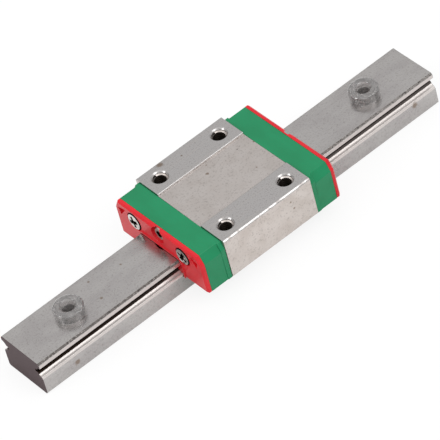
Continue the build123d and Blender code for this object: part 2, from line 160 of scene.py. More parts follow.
class GuideColours(bpy.types.PropertyGroup):
    """Colours of the guide's materials."""

    rail: colour("Rail steel", "Ground bearing steel", "#B9B6B4")
    rail_cloud: colour("Rail cloud", "Slightly darker clouds in the ground steel", "#AFABAA")
    rail_land: colour("Rail land", "Polished land above each ball groove", "#CBC3C0")
    # A painted highlight on the polished lower edge of each ball groove
    rail_lip_highlight: colour("Rail lip", "Polished lower edge of each ball groove", "#D8D1CD")
    rail_end: colour("Rail end", "Sawn and blackened end of the rail", "#5C4E50")
    scale: colour("Scale", "Scale on the rail's broken upper edges", "#625C58")
    scale_far: colour("Far scale", "That scale at the far end, where it is thinner", "#7E7975")
    scale_black: colour("Black scale", "Black dots in that scale", "#332D2A")
    scale_worn: colour("Worn scale", "Dots where that scale is worn away", "#A39D99")
    # Painted shade in the ball grooves: the first at the near end, the second, lighter, at the far end
    groove_shade: colour("Raceway", "Ball groove under thick old oil", "#2A201A")
    groove_shade_far: colour("Dry raceway", "Ball groove where the oil is thin", "#5C5552")
    # Painted shade, near black, in the tapped holes, the screws' crosses and sockets and round the screw
    # heads
    recess_shade: colour("Black oil", "Black oil in tapped holes and grime on the screws", "#1C1815")
    pad: colour("Block pad", "Ground mounting pads of the block", "#B8B5B4")
    block: colour("Block steel", "Milled faces of the block", "#D0C8C3")
    block_cloud: colour("Block cloud", "Warmer clouds in the milled steel", "#C7BEB8")
    speck: colour("Speck", "Pits, nicks and oil specks in the steel", "#5C524C")
    stain: colour("Stain", "Brown oil stains on the steel", "#7A6654")
    green: colour("Green plastic", "Green moulded nylon of the end caps", "#178A5B")
    green_dark: colour("Green shade", "Darker flow marks in the green nylon", "#158153")
    red: colour("Red plastic", "Red moulded seal plates", "#E0222D")
    red_dark: colour("Red shade", "Darker flow marks in the red plates", "#D21D28")
    clear: colour("Clear plastic", "Clear polyethylene of the stop plugs", "#DDDAD9")
    clear_haze: colour("Clear haze", "Milky clouds in the clear polyethylene", "#CECAC8")
    screw: colour("Screw plating", "Nickel plated screws", "#D9D5D0")
    screw_dull: colour("Screw dull", "Duller patches in the plating", "#A9A49F")
    zinc: colour("Zinc plating", "Zinc plated grease screws", "#C2B9AF")
    ball: colour("Ball steel", "Polished bearing balls", "#CBCBCE")
    wire: colour("Wire steel", "Drawn spring wire", "#B4B4B6")
    acetal: colour("Black acetal", "Black moulded turning guides", "#1E1E20")
    floor: colour("Floor", "White paper under the guide", "#FFFFFF")
    floor_bounce: colour("Floor bounce", "What the paper throws back on the guide's sides", "#CACACA")


def sizes():
    return bpy.context.scene.guide_sizes


def colours():
    return bpy.context.scene.guide_colours


# Materials


def first_open(sockets, name=None):
    """The first socket in use, or the first in use that has the name."""
    return next(s for s in sockets if s.enabled and name in (None, s.name))


def feed(tree, socket, value):
    """Set a socket to a value, or link it to another socket or to a node's first output in use."""
    if isinstance(value, bpy.types.Node):
        value = first_open(value.outputs)
    if isinstance(value, bpy.types.NodeSocket):
        tree.links.new(value, socket)
    else:
        socket.default_value = value


def add_node(tree, kind, inputs=None, **settings):
    """A shader node with its settings, whose inputs take values, sockets or other nodes."""
    node = tree.nodes.new(kind)
    for name, value in settings.items():
        setattr(node, name, value)
    for key, value in (inputs or {}).items():
        feed(tree, node.inputs[key] if isinstance(key, int) else first_open(node.inputs, key), value)
    return node


def new_material(name):
    """A material, its node tree and its object coordinates."""
    material = bpy.data.materials.new(name)
    material.use_nodes = True
    tree = material.node_tree
    return material, tree, add_node(tree, "ShaderNodeTexCoord").outputs["Object"]


def finish(tree, sockets, relief=None):
    """Give the main shader its inputs, and a relief: a height of 0 to 1 and its real depth.

    An input is a value, a pattern, or a pattern and what it stands for at 0 and at 1.
    """
    shader = next(node for node in tree.nodes if node.type == "BSDF_PRINCIPLED")
    if relief:
        bump = {"Height": relief[0], "Distance": relief[1], "Strength": 1.0}
        sockets = {**sockets, "Normal": add_node(tree, "ShaderNodeBump", bump)}
    for name, value in sockets.items():
        if isinstance(value, tuple):
            limits = dict(zip(("Value", "To Min", "To Max"), value))
            value = add_node(tree, "ShaderNodeMapRange", limits)
        feed(tree, shader.inputs[name], value)


def grain(tree, place, waves, detail=2.0, roughness=0.5):
    """Random grain with so many waves per millimetre along X, Y and Z: 4 waves are 0.25 mm apart."""
    scaled = add_node(tree, "ShaderNodeMapping", {"Vector": place, "Scale": [count / MM for count in waves]})
    settings = {"Vector": scaled, "Scale": 1.0, "Detail": detail, "Roughness": roughness}
    return add_node(tree, "ShaderNodeTexNoise", settings)


def past(value, low, high):
    """The part of a mask that turns from 0 to 1 between two coordinates in millimetres."""
    return value, low * MM, high * MM


def band(value, low, high, soft):
    """The parts of a mask that keep it between two coordinates in millimetres, with soft ends."""
    return past(value, low - soft, low), past(value, high + soft, high)


def mask(tree, *parts):
    """Where all parts overlap: each is a mask, or a value and the limits where it is 0 and where it is 1."""
    total = None
    for part in parts:
        if isinstance(part, tuple):
            limits = dict(zip(("Value", "From Min", "From Max"), part))
            part = add_node(tree, "ShaderNodeMapRange", limits, interpolation_type="SMOOTHSTEP")
        if total is not None:
            part = add_node(tree, "ShaderNodeMath", {0: total, 1: part}, operation="MULTIPLY")
        total = part
    return total


def strongest(tree, *shares):
    """The strongest of several masks, each with the share of it that counts."""
    total = None
    for cover, share in shares:
        part = add_node(tree, "ShaderNodeMath", {0: cover, 1: share}, operation="MULTIPLY")
        if total is not None:
            part = add_node(tree, "ShaderNodeMath", {0: total, 1: part}, operation="MAXIMUM")
        total = part
    return total


def layered(tree, tint, *layers):
    """A colour under layers of other colours, each with its mask or a mask's part, and its strength."""
    for cover, strength, coat in layers:
        share = add_node(tree, "ShaderNodeMath", {0: mask(tree, cover), 1: strength}, operation="MULTIPLY")
        tint = add_node(tree, "ShaderNodeMix", {"Factor": share, "A": tint, "B": coat}, data_type="RGBA")
    return tint


def away(tree, value, middle_mm):
    """How far a coordinate is from a place, given in millimetres, on either side of it."""
    moved = add_node(tree, "ShaderNodeMath", {0: value, 1: middle_mm * MM}, operation="SUBTRACT")
    return add_node(tree, "ShaderNodeMath", {0: moved}, operation="ABSOLUTE")


def within(tree, first, second, radius, soft):
    """1 within a radius in millimetres of an axis, from the distances to it along two directions."""
    both = add_node(tree, "ShaderNodeCombineXYZ", {"X": first, "Y": second})
    reach = add_node(tree, "ShaderNodeVectorMath", {0: both}, operation="LENGTH")
    return mask(tree, past(reach.outputs["Value"], radius + soft, radius))


def specks(tree, place, spacing, radius, share):
    """Small round specks: a cell of the spacing holds one, in that share of the cells."""
    scale = 1 / spacing
    cells = add_node(tree, "ShaderNodeTexVoronoi", {"Vector": place, "Scale": scale})
    chance = add_node(tree, "ShaderNodeSeparateColor", {"Color": cells.outputs["Color"]})
    near = (cells.outputs["Distance"], radius * scale, 0.4 * radius * scale)
    return mask(tree, near, (chance, 1 - share, 1 - 0.95 * share))


def marks(tree, place, spots):
    """Stains at chosen places, each a point and a radius in millimetres, with ragged edges."""
    rough = grain(tree, place, (1.8, 1.8, 1.8), 3.0)
    ragged = add_node(tree, "ShaderNodeMapRange", {"Value": rough, "To Min": 0.3, "To Max": 1.7})
    stains = []
    for x, y, z, radius in spots:
        point = (x * MM, y * MM, z * MM)
        reach = add_node(tree, "ShaderNodeVectorMath", {0: place, 1: point}, operation="DISTANCE")
        reach = add_node(tree, "ShaderNodeMath", {0: reach.outputs["Value"], 1: ragged}, operation="MULTIPLY")
        stains.append((mask(tree, past(reach, radius, 0.35 * radius)), 1.0))
    return strongest(tree, *stains)


# Where the rail's finish changes, in millimetres from its middle plane, above its base or from its ends
SIDE_FROM = (5.0, 5.1)
LAND_HEIGHTS = (6.8, 7.55)
LIP_HIGHLIGHT_HEIGHTS = (3.98, 4.85)
SCALE_FROM = (5.5, 5.6)
SCALE_ABOVE = (7.62, 7.7)
SCALE_THINS = (-50, 50)
# Where the painted shade in the ball grooves lies, and where it lightens along the rail
GROOVE_ACROSS = (3.6, 5.94)
GROOVE_HEIGHTS = (4.87, 6.84)
GROOVE_SHADE_LIGHTENS = (-40, 30)
SAWN_DEPTHS = (0.07, 0.05)

# The same for the block, and how far the painted shade in its holes reaches past their walls
PAD_ABOVE = (12.52, 12.6)
NICKS_FROM = (13.15, 13.2)
NICKS_ABOVE = (12.65, 12.7)
SHADE_BELOW = (12.3, 12.0)
SHADE_PAST_WALL = 0.02

# Stains seen on the rail and the block, each a point and a radius in millimetres
RAIL_SPOTS = (
    (-31.1, -1.8, 8.0, 0.45), (-23.1, 2.3, 8.0, 0.35), (-30.1, 3.6, 8.0, 0.3), (-42.0, -6.0, 2.2, 0.8),
    (44.4, -6.0, 3.6, 0.9),
)
BLOCK_SPOTS = (
    (1.2, 3.7, 12.5, 0.45), (12.6, 3.3, 12.5, 0.3), (8.4, -2.6, 12.5, 0.25), (2.5, 5.7, 12.5, 0.25),
    (-3.5, 12.6, 13.0, 0.8), (0.9, 11.2, 13.0, 0.3), (7.8, -13.5, 8.8, 0.35), (7.4, -13.5, 10.7, 0.3),
)

# Painted shade on the screws, in millimetres: its radius and its depth under the solid's outer face, and the
# radius of a head's face that it leaves unshaded. The cross's starts above the solid's face, because the pan
# head stands over it.
CROSS_RADIUS = 1.57
CROSS_DEPTH = -0.33
UNSHADED_RADIUS = 1.72
SOCKET_RADIUS = 0.88
SOCKET_DEPTH = 0.08


def ground_bearing_steel():
    """Hardened bearing steel, surface ground along its length: soft mirror, fine lines, scaly edges."""
    tints = colours()
    material, tree, place = new_material("ground_bearing_steel")
    where = add_node(tree, "ShaderNodeSeparateXYZ", {"Vector": place}).outputs
    along, height = where["X"], where["Z"]
    across = away(tree, where["Y"], 0)
    # Grinding lines are about 0.02 mm apart on the real rail, and are drawn 0.25 mm apart to show.
    lines = grain(tree, place, (0.04, 4, 4))
    # The clouds are about 8 mm long. The grit is much finer on the real rail, and is drawn 0.4 mm apart.
    clouds = grain(tree, place, (0.12, 0.26, 0.26), 3.0)
    grit = grain(tree, place, (2.6, 2.6, 2.6))
    pits = specks(tree, place, spacing=7 * MM, radius=0.25 * MM, share=0.3)
    # The land above each groove and the groove's lower edge are polished by the wiper, and the lower edge is
    # painted paler still as a highlight.
    side = past(across, *SIDE_FROM)
    land = mask(tree, side, *band(height, *LAND_HEIGHTS, soft=0.1))
    lip = mask(tree, side, *band(height, *LIP_HIGHLIGHT_HEIGHTS, soft=0.03))
    # The broken upper edges were never ground: they are dark with old scale, in 0.3 mm black and bare dots.
    edge = mask(tree, past(across, *SCALE_FROM), past(height, *SCALE_ABOVE))
    dots = grain(tree, place, (2.4, 3.6, 3.6), 2.0, 0.6)
    scale = layered(
        tree, tints.scale,
        (past(along, *SCALE_THINS), 1.0, tints.scale_far),
        ((dots, 0.52, 0.62), 1.0, tints.scale_black),
        ((dots, 0.42, 0.34), 1.0, tints.scale_worn),
    )
    # The ball grooves get a painted shade, darker at the near end, and the sawn ends are blackened.
    groove = mask(tree, *band(across, *GROOVE_ACROSS, soft=0.04), *band(height, *GROOVE_HEIGHTS, soft=0.03))
    # oil holds the painted shade's colour, lighter towards the far end
    oil = layered(tree, tints.groove_shade, (past(along, *GROOVE_SHADE_LIGHTENS), 1.0, tints.groove_shade_far))
    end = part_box("rail")[1].x / MM
    sawn = mask(tree, past(away(tree, along, 0), *(end - depth for depth in SAWN_DEPTHS)))
    tint = layered(
        tree, tints.rail,
        ((clouds, 0.35, 0.7), 1.0, tints.rail_cloud),
        ((lines, 0.45, 0.75), 0.35, tints.rail_cloud),
        ((grit, 0.5, 0.8), 0.3, tints.speck),
        (land, 1.0, tints.rail_land),
        (lip, 1.0, tints.rail_lip_highlight),
        (edge, 1.0, scale),
        (pits, 1.0, tints.speck),
        (marks(tree, place, RAIL_SPOTS), 0.7, tints.stain),
        (groove, 1.0, oil),
        (sawn, 1.0, tints.rail_end),
    )
    dull = strongest(tree, (clouds, 0.35), (pits, 1.0), (sawn, 1.0), (edge, 1.0), (groove, 1.0))
    # Scale isn't bare metal, and the lip is drawn less metallic, so that its painted highlight stays pale
    # whatever it mirrors.
    covered = strongest(tree, (edge, 1.0), (lip, 0.7))
    sockets = {"Base Color": tint, "Roughness": (dull, 0.18, 0.6), "Metallic": (covered, 1.0, 0.0)}
    relief = add_node(tree, "ShaderNodeMath", {0: lines, 1: grit}, operation="ADD")
    finish(tree, sockets, (relief, 0.0012 * MM))
    return material


def ground_block_steel():
    """Stainless steel block, milled with a warm satin finish, with two finely ground pads on top."""
    tints = colours()
    mount = carriage_mount()
    material, tree, place = new_material("ground_block_steel")
    where = add_node(tree, "ShaderNodeSeparateXYZ", {"Vector": place}).outputs
    height = where["Z"]
    across = away(tree, where["Y"], 0)
    # The mill's marks are about 0.05 mm apart, and are drawn 0.4 mm apart to show. The grit is finer too on
    # the real block, and is drawn 0.33 mm apart. The clouds are about 3 mm across.
    lines = grain(tree, place, (0.06, 2.5, 2.5))
    grit = grain(tree, place, (3, 3, 3))
    clouds = grain(tree, place, (0.3, 0.3, 0.3), 4.0)
    pad = mask(tree, past(height, *PAD_ABOVE))
    # The broken outer edges have small nicks, about 1 mm apart.
    worn = grain(tree, place, (0.9, 0.9, 0.9))
    nicks = mask(tree, past(across, *NICKS_FROM), past(height, *NICKS_ABOVE), (worn, 0.53, 0.63))
    # Painted shade fills the tapped holes below their countersinks.
    from_row = away(tree, away(tree, where["X"], mount["x"]), mount["spacing_x"] / 2)
    from_line = away(tree, across, mount["spacing_y"] / 2)
    bore = within(tree, from_row, from_line, mount["radius"] + SHADE_PAST_WALL, soft=0.03)
    recess_shade = mask(tree, bore, past(height, *SHADE_BELOW))
    tint = layered(
        tree, tints.block,
        ((clouds, 0.35, 0.7), 1.0, tints.block_cloud),
        (pad, 1.0, tints.pad),
        ((lines, 0.5, 0.8), 0.25, tints.block_cloud),
        ((grit, 0.5, 0.8), 0.35, tints.speck),
        (specks(tree, place, spacing=5 * MM, radius=0.18 * MM, share=0.35), 1.0, tints.speck),
        (marks(tree, place, BLOCK_SPOTS), 0.75, tints.stain),
        (nicks, 0.5, tints.speck),
        (recess_shade, 1.0, tints.recess_shade),
    )
    satin = add_node(tree, "ShaderNodeMapRange", {"Value": pad, "To Min": 0.45, "To Max": 0.25})
    uneven = add_node(tree, "ShaderNodeMapRange", {"Value": clouds, "To Min": 0.8, "To Max": 1.2})
    clean = add_node(tree, "ShaderNodeMath", {0: satin, 1: uneven}, operation="MULTIPLY")
    gloss = strongest(tree, (clean, 1.0), (recess_shade, 0.5), (nicks, 0.25))
    relief = add_node(tree, "ShaderNodeMath", {0: lines, 1: grit}, operation="ADD")
    finish(tree, {"Base Color": tint, "Roughness": gloss, "Metallic": 1.0}, (relief, 0.002 * MM))
    return material


def moulded_plastic(name, tint, shade, roughness, depth):
    """An injection moulded plastic: satin, with faint flow marks and a fine texture of a real depth."""
    material, tree, place = new_material(name)
    # Flow marks are about 4 mm wide and 8 mm long across the rail.
    flow = grain(tree, place, (0.26, 0.12, 0.26), 3.0)
    if shade:
        tint = layered(tree, tint, ((flow, 0.3, 0.75), 1.0, shade))
    gloss = (flow, roughness - 0.05, roughness + 0.05)
    sockets = {"Base Color": tint, "Roughness": gloss, "IOR": 1.5, "Specular IOR Level": 0.3}
    # The mould's texture is about 0.03 mm, and is drawn at 0.2 mm to show.
    finish(tree, sockets, (grain(tree, place, (5, 5, 5)), depth))
    return material


def clear_polyethylene():
    """Low-density polyethylene, injection moulded: clear but milky in 2 mm clouds, with a soft gloss."""
    tints = colours()
    material, tree, place = new_material("clear_polyethylene")
    milk = grain(tree, place, (0.5, 0.5, 0.5), 3.0)
    sockets = {
        "Base Color": layered(tree, tints.clear, ((milk, 0.35, 0.7), 1.0, tints.clear_haze)),
        "Roughness": (milk, 0.04, 0.16),
        "IOR": 1.4,
        "Transmission Weight": 0.8,
        "Coat Weight": 1.0,
        "Coat Roughness": 0.05,
    }
    # The mould leaves ripples about 0.7 mm apart.
    finish(tree, sockets, (grain(tree, place, (1.5, 1.5, 1.5)), 0.001 * MM))
    return material


def bright_metal(name, tint, dull, waves, roughness, painted_shade=None):
    """A bright metal, in patches duller or rougher, and black where a painted shade is given."""
    material, tree, place = new_material(name)
    patches = grain(tree, place, waves, 3.0)
    limits = {"Value": patches, "To Min": roughness[0], "To Max": roughness[1]}
    gloss = add_node(tree, "ShaderNodeMapRange", limits)
    if dull:
        tint = layered(tree, tint, ((patches, 0.4, 0.8), 1.0, dull))
    if painted_shade:
        black = painted_shade(tree, place)
        tint = layered(tree, tint, (black, 1.0, colours().recess_shade))
        gloss = strongest(tree, (gloss, 1.0), (black, 0.6))
    finish(tree, {"Base Color": tint, "Roughness": gloss, "Metallic": 1.0})
    return material


def round_axis(tree, place, node, radius, soft):
    """1 within a radius in millimetres of a screw's axis, and of its mate's on the other side."""
    axis = middle(node) / MM
    where = add_node(tree, "ShaderNodeSeparateXYZ", {"Vector": place}).outputs
    aside = away(tree, away(tree, where["Y"], 0), abs(axis.y))
    return within(tree, aside, away(tree, where["Z"], axis.z), radius, soft)


def sunk(tree, place, node, radius, depth):
    """1 within a radius of a far screw's axis and past a depth under its solid's outer face, at both ends."""
    centre = middle("carriage_block").x / MM
    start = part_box(node)[1].x / MM - centre - depth
    where = add_node(tree, "ShaderNodeSeparateXYZ", {"Vector": place}).outputs
    deep = past(away(tree, where["X"], centre), start + 0.04, start)
    return mask(tree, round_axis(tree, place, node, radius, soft=0.05), deep)


def cross_shade(tree, place):
    """Painted shade in the cap screws' crosses, and round the sides of their heads."""
    screw = "cap_screw_far_left"
    cross = sunk(tree, place, screw, CROSS_RADIUS, CROSS_DEPTH)
    face = round_axis(tree, place, screw, UNSHADED_RADIUS, soft=0.06)
    sides = add_node(tree, "ShaderNodeMapRange", {"Value": face, "To Min": 1.0, "To Max": 0.0})
    return strongest(tree, (cross, 1.0), (sides, 1.0))


def socket_shade(tree, place):
    """Painted shade in the grease screws' sockets."""
    return sunk(tree, place, "grease_screw_far", SOCKET_RADIUS, SOCKET_DEPTH)


def carriage_mount():
    """The carriage's threaded holes as the record gives them, in millimetres."""
    mount = next(m for m in frame["record"]["mounts"] if m["name"] == "carriage_bolts")
    dims = mount["dims"]
    return {
        "x": mount["pos_m"][0] / MM,
        "top": mount["pos_m"][2] / MM,
        "radius": dims["hole_r_mm"],
        "spacing_x": dims["spacing_x_mm"],
        "spacing_y": dims["spacing_y_mm"],
    }


# Mesh helpers


def welded_copy(node):
    """The node's solid with its triangles joined into flat faces."""
    bm = bmesh.new()
    bm.from_mesh(frame["nodes"][node].data)
    bmesh.ops.remove_doubles(bm, verts=bm.verts, dist=MERGE_DISTANCE)
    bmesh.ops.dissolve_limit(
        bm, angle_limit=FLAT_ANGLE, use_dissolve_boundaries=False, verts=bm.verts, edges=bm.edges
    )
    return bm


def soften(bm, width):
    """Break the sharp edges of a solid by a small round, where they are long enough to take it."""
    room = EDGE_ROOM * width
    roomy = {v for v in bm.verts if all(edge.calc_length() > room for edge in v.link_edges)}
    sharp = [e for e in bm.edges if e.is_manifold and e.calc_face_angle() > EDGE_ANGLE]
    round_edges(bm, [e for e in sharp if roomy.issuperset(e.verts)], width, EDGE_STEPS)


def round_edges(bm, edges, width, segments):
    bmesh.ops.bevel(
        bm, geom=edges, offset=width, offset_type="OFFSET", segments=segments, profile=0.5,
        affect="EDGES", clamp_overlap=False, material=-1,
    )


def turned(profile):
    """A closed solid from an outline of radius and height points, turned round the Z axis."""
    bm = bmesh.new()
    verts = [bm.verts.new((radius, 0, height)) for radius, height in profile]
    edges = [bm.edges.new((a, b)) for a, b in zip(verts, verts[1:] + verts[:1]) if a.co.x > 0 or b.co.x > 0]
    bmesh.ops.spin(
        bm, geom=verts + edges, cent=(0, 0, 0), axis=(0, 0, 1), dvec=(0, 0, 0), angle=2 * pi,
        steps=TURN_STEPS, use_merge=True, use_normal_flip=False, use_duplicate=False,
    )
    bmesh.ops.remove_doubles(bm, verts=bm.verts, dist=MERGE_DISTANCE)
    bmesh.ops.recalc_face_normals(bm, faces=bm.faces)
    return bm


def ring(bm, radius, height):
    """The edges of a turned solid that lie at one radius and one height."""
    slack = 0.001 * MM

    def on_ring(vert):
        return abs(hypot(vert.co.x, vert.co.y) - radius) < slack and abs(vert.co.z - height) < slack

    return [edge for edge in bm.edges if all(on_ring(vert) for vert in edge.verts)]


def add_thread(bm, root, crest, pitch, low, high):
    """A helical ridge round the Z axis between two heights, with its root and its crest at two radii."""
    flank = THREAD_FLANK * pitch
    turns = (high - low - 2 * flank) / pitch
    steps = round(turns * THREAD_STEPS)
    corners = ((root, 0, low), (crest, 0, low + flank), (root, 0, low + 2 * flank))
    verts = [bm.verts.new(corner) for corner in corners]
    face = bm.faces.new(verts)
    bmesh.ops.spin(
        bm, geom=[face, *face.edges, *verts], cent=(0, 0, 0), axis=(0, 0, 1),
        dvec=(0, 0, pitch / THREAD_STEPS), angle=2 * pi * steps / THREAD_STEPS, steps=steps,
        use_merge=False, use_normal_flip=False, use_duplicate=False,
    )


def stand_along(bm, place, direction):
    """Move a piece built up the Z axis to a place, with its Z axis along a direction."""
    turn = Vector((0, 0, 1)).rotation_difference(Vector(direction)).to_matrix().to_4x4()
    bmesh.ops.transform(bm, matrix=Matrix.Translation(place) @ turn, verts=bm.verts)


def stand_screw(bm, node, sign):
    """Stand a screw on its solid's inner end, pointing out of its end of the carriage."""
    low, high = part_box(node)
    foot = middle(node)
    foot.x = low.x if sign > 0 else high.x
    stand_along(bm, foot, (sign, 0, 0))


def smooth_by_angle(bm):
    """Smooth shading, with sharp edges kept where faces meet at a large angle."""
    for face in bm.faces:
        face.smooth = True
    for edge in bm.edges:
        edge.smooth = edge.is_manifold and edge.calc_face_angle() < SHARP_ANGLE


def cut_away(bm, cutter):
    """The first mesh less the second."""
    objects = []
    for name, source in (("blank", bm), ("cutter", cutter)):
        mesh = bpy.data.meshes.new(name)
        source.to_mesh(mesh)
        source.free()
        objects.append(bpy.data.objects.new(name, mesh))
        bpy.context.scene.collection.objects.link(objects[-1])
    blank, tool = objects
    boolean = blank.modifiers.new("Cut", "BOOLEAN")
    boolean.object = tool
    boolean.operation = "DIFFERENCE"
    boolean.solver = "EXACT"
    result = bmesh.new()
    result.from_object(blank, bpy.context.evaluated_depsgraph_get())
    for used in objects:
        bpy.data.meshes.remove(used.data)
    return result


def trim(bm, point, normal):
    """Cut away what lies beyond a plane, and close the cut."""
    geometry = bm.verts[:] + bm.edges[:] + bm.faces[:]
    cut = bmesh.ops.bisect_plane(bm, geom=geometry, plane_co=point, plane_no=normal, clear_outer=True)
    rim = [item for item in cut["geom_cut"] if isinstance(item, bmesh.types.BMEdge)]
    bmesh.ops.holes_fill(bm, edges=rim, sides=0)
    bmesh.ops.recalc_face_normals(bm, faces=bm.faces)


def add_piece(name, bm, material, body, slot, *nodes):
    """Make a finished piece that rides on a body and stands for the given nodes."""
    smooth_by_angle(bm)
    mesh = bpy.data.meshes.new(name)
    bm.to_mesh(mesh)
    bm.free()
    mesh.materials.clear()
    mesh.materials.append(material)
    piece = bpy.data.objects.new(name, mesh)
    bpy.context.scene.collection.objects.link(piece)
    weighted = piece.modifiers.new("Flat faces", "WEIGHTED_NORMAL")
    weighted.keep_sharp = True
    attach(piece, body)
    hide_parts(*nodes)


def add_mouldings(kind, width, material, slot):
    """Make the mouldings of one kind at both ends of the carriage, with softened edges."""
    for end in ENDS:
        node = f"{kind}_{end}"
        bm = welded_copy(node)
        soften(bm, width)
        add_piece(f"{node}_moulding", bm, material, "carriage", slot, node)


def middle(node):
    """The middle of a node's box."""
    low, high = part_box(node)
    return (low + high) / 2


def ball_centres(node):
    """The middle of each separate ball in a node's mesh."""
    bm = bmesh.new()
    bm.from_mesh(frame["nodes"][node].data)
    bmesh.ops.remove_doubles(bm, verts=bm.verts, dist=MERGE_DISTANCE)
    waiting = set(bm.verts)
    centres = []
    while waiting:
        ball = [waiting.pop()]
        for vert in ball:
            reached = {edge.other_vert(vert) for edge in vert.link_edges} & waiting
            waiting -= reached
            ball.extend(reached)
        centres.append(sum((vert.co for vert in ball), Vector()) / len(ball))
    bm.free()
    return centres


# Pieces


class GUIDE_OT_rail(bpy.types.Operator):
    """Build the ground rail"""

    bl_idname = "guide.rail"
    bl_label = "Rail"

    def execute(self, context):
        bm = welded_copy("rail")
        soften(bm, sizes().rail_edge)
        add_piece("rail_bar", bm, ground_bearing_steel(), "rail", "rail_steel", "rail")
        return {"FINISHED"}


def channel_edges(bm, top, reach):
    """The long edges of the pads that border the channel between them."""
    level = [e for e in bm.edges if all(abs(v.co.z - top) < MERGE_DISTANCE for v in e.verts)]
    inner = [e for e in level if all(abs(v.co.y) < reach for v in e.verts)]
    return [e for e in inner if e.is_manifold and e.calc_length() > reach]


class GUIDE_OT_block(bpy.types.Operator):
    """Build the steel block and the threads in its mounting holes"""

    bl_idname = "guide.block"
    bl_label = "Carriage Block"

    def execute(self, context):
        size = sizes()
        steel = ground_block_steel()
        mount = carriage_mount()
        half_x, half_y = mount["spacing_x"] / 2, mount["spacing_y"] / 2
        radius = mount["radius"] * MM
        top = mount["top"] * MM
        bm = welded_copy("carriage_block")
        round_edges(bm, channel_edges(bm, top, half_y * MM), size.channel_edge, PAD_STEPS)
        soften(bm, size.block_edge)
        add_piece("carriage_block_body", bm, steel, "carriage", "block_steel", "carriage_block")
        crest = radius - size.mount_depth
        threads = bmesh.new()
        for x in (-half_x, half_x):
            for y in (-half_y, half_y):
                before = len(threads.verts)
                add_thread(
                    threads, radius, crest, size.mount_pitch, top - MOUNT_THREAD_FOOT, top - MOUNT_THREAD_TOP
                )
                shift = Vector((mount["x"] + x, y, 0)) * MM
                threads.verts.ensure_lookup_table()
                bmesh.ops.translate(threads, vec=shift, verts=threads.verts[before:])
        bmesh.ops.recalc_face_normals(threads, faces=threads.faces)
        add_piece("mount_threads", threads, steel, "carriage", "block_steel")
        return {"FINISHED"}


class GUIDE_OT_caps(bpy.types.Operator):
    """Build both green end caps"""

    bl_idname = "guide.caps"
    bl_label = "End Caps"

    def execute(self, context):
        tints = colours()
        # Nylon: an even satin, with the deepest texture of the guide's plastics.
        green = moulded_plastic(
            "moulded_green_nylon", tints.green, tints.green_dark, roughness=0.3, depth=0.006 * MM
        )
        add_mouldings("end_cap", sizes().cap_edge, green, "green_plastic")
        return {"FINISHED"}


class GUIDE_OT_seals(bpy.types.Operator):
    """Build both red end seals"""

    bl_idname = "guide.seals"
    bl_label = "End Seals"

    def execute(self, context):
        tints = colours()
        # A hard elastomer: a little duller than the nylon, with a smoother face.
        red = moulded_plastic(
            "moulded_red_elastomer", tints.red, tints.red_dark, roughness=0.32, depth=0.004 * MM
        )
        add_mouldings("end_seal", sizes().seal_edge, red, "red_seal")
        return {"FINISHED"}


def cross_cutter(span, wing, depth, top):
    """A cross-shaped cutter that narrows towards its foot, with its upper face at a height."""
    bm = bmesh.new()
    bmesh.ops.create_grid(bm, x_segments=3, y_segments=3, size=1.0)
    # The grid's outer lines become the wings' ends and its inner lines their sides.
    for vert in bm.verts:
        for axis in (0, 1):
            reach = span / 2 if abs(vert.co[axis]) > 0.5 else wing / 2
            vert.co[axis] = copysign(reach, vert.co[axis])
    corners = [face for face in bm.faces if min(abs(c) for c in face.calc_center_median()[:2]) > wing / 2]
    bmesh.ops.delete(bm, geom=corners, context="FACES")
    bmesh.ops.translate(bm, vec=(0, 0, top + CUTTER_OVER), verts=bm.verts)
    foot = bmesh.ops.extrude_face_region(bm, geom=bm.faces[:], use_keep_orig=True)
    low = [item for item in foot["geom"] if isinstance(item, bmesh.types.BMVert)]
    bmesh.ops.translate(bm, vec=(0, 0, -depth - CUTTER_OVER), verts=low)
    bmesh.ops.scale(bm, vec=(CROSS_TAPER, CROSS_TAPER, 1.0), verts=low)
    bmesh.ops.recalc_face_normals(bm, faces=bm.faces)
    return bm


def pan_head(radius, low, high):
    """The outline of a pan head's outer face from its rim to its middle: upright at the rim, flat on top."""
    outline = []
    for step in range(HEAD_STEPS):
        angle = step * pi / 2 / HEAD_STEPS
        outline.append((radius * cos(angle) ** PAN_SHAPE, low + (high - low) * sin(angle) ** PAN_SHAPE))
    return [*outline, (0, high)]


class GUIDE_OT_cap_screws(bpy.types.Operator):
    """Build the four cross-recess screws that hold the caps"""

    bl_idname = "guide.cap_screws"
    bl_label = "Cap Screws"

    # How far each screw's cross is turned, in degrees
    turns = {"near_left": 20, "near_right": 62, "far_left": 5, "far_right": 40}

    def execute(self, context):
        size = sizes()
        tints = colours()
        # Nickel plated steel from a barrel: bright, with soft dull patches 1 mm across, and painted shade in
        # the crosses and round the heads.
        nickel = bright_metal(
            "nickel_plated_steel", tints.screw, tints.screw_dull,
            waves=(0.9, 0.9, 0.9), roughness=(0.18, 0.34), painted_shade=cross_shade,
        )
        for end, sign in ENDS.items():
            for side in SIDES:
                node = f"cap_screw_{end}_{side}"
                low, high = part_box(node)
                total = high.x - low.x
                head = (high.z - low.z) / 2
                shank = size.screw_shank / 2
                core = shank - CAP_THREAD_DEPTH * size.screw_pitch
                seat = total - size.screw_head
                crown = total + size.screw_crown
                outer = pan_head(head, crown - size.screw_round, crown)
                bm = turned(((0, 0), (core, 0), (core, seat), (head, seat), *outer))
                bm = cut_away(bm, cross_cutter(size.cross_span, size.cross_wing, size.cross_depth, crown))
                add_thread(bm, core, shank, size.screw_pitch, BARE_TIP, seat - BARE_NECK)
                bmesh.ops.recalc_face_normals(bm, faces=bm.faces)
                turn = Matrix.Rotation(radians(self.turns[f"{end}_{side}"]), 3, "Z")
                bmesh.ops.rotate(bm, cent=(0, 0, 0), matrix=turn, verts=bm.verts)
                stand_screw(bm, node, sign)
                add_piece(f"{node}_cross_head", bm, nickel, "carriage", "screw_steel", node)
        return {"FINISHED"}


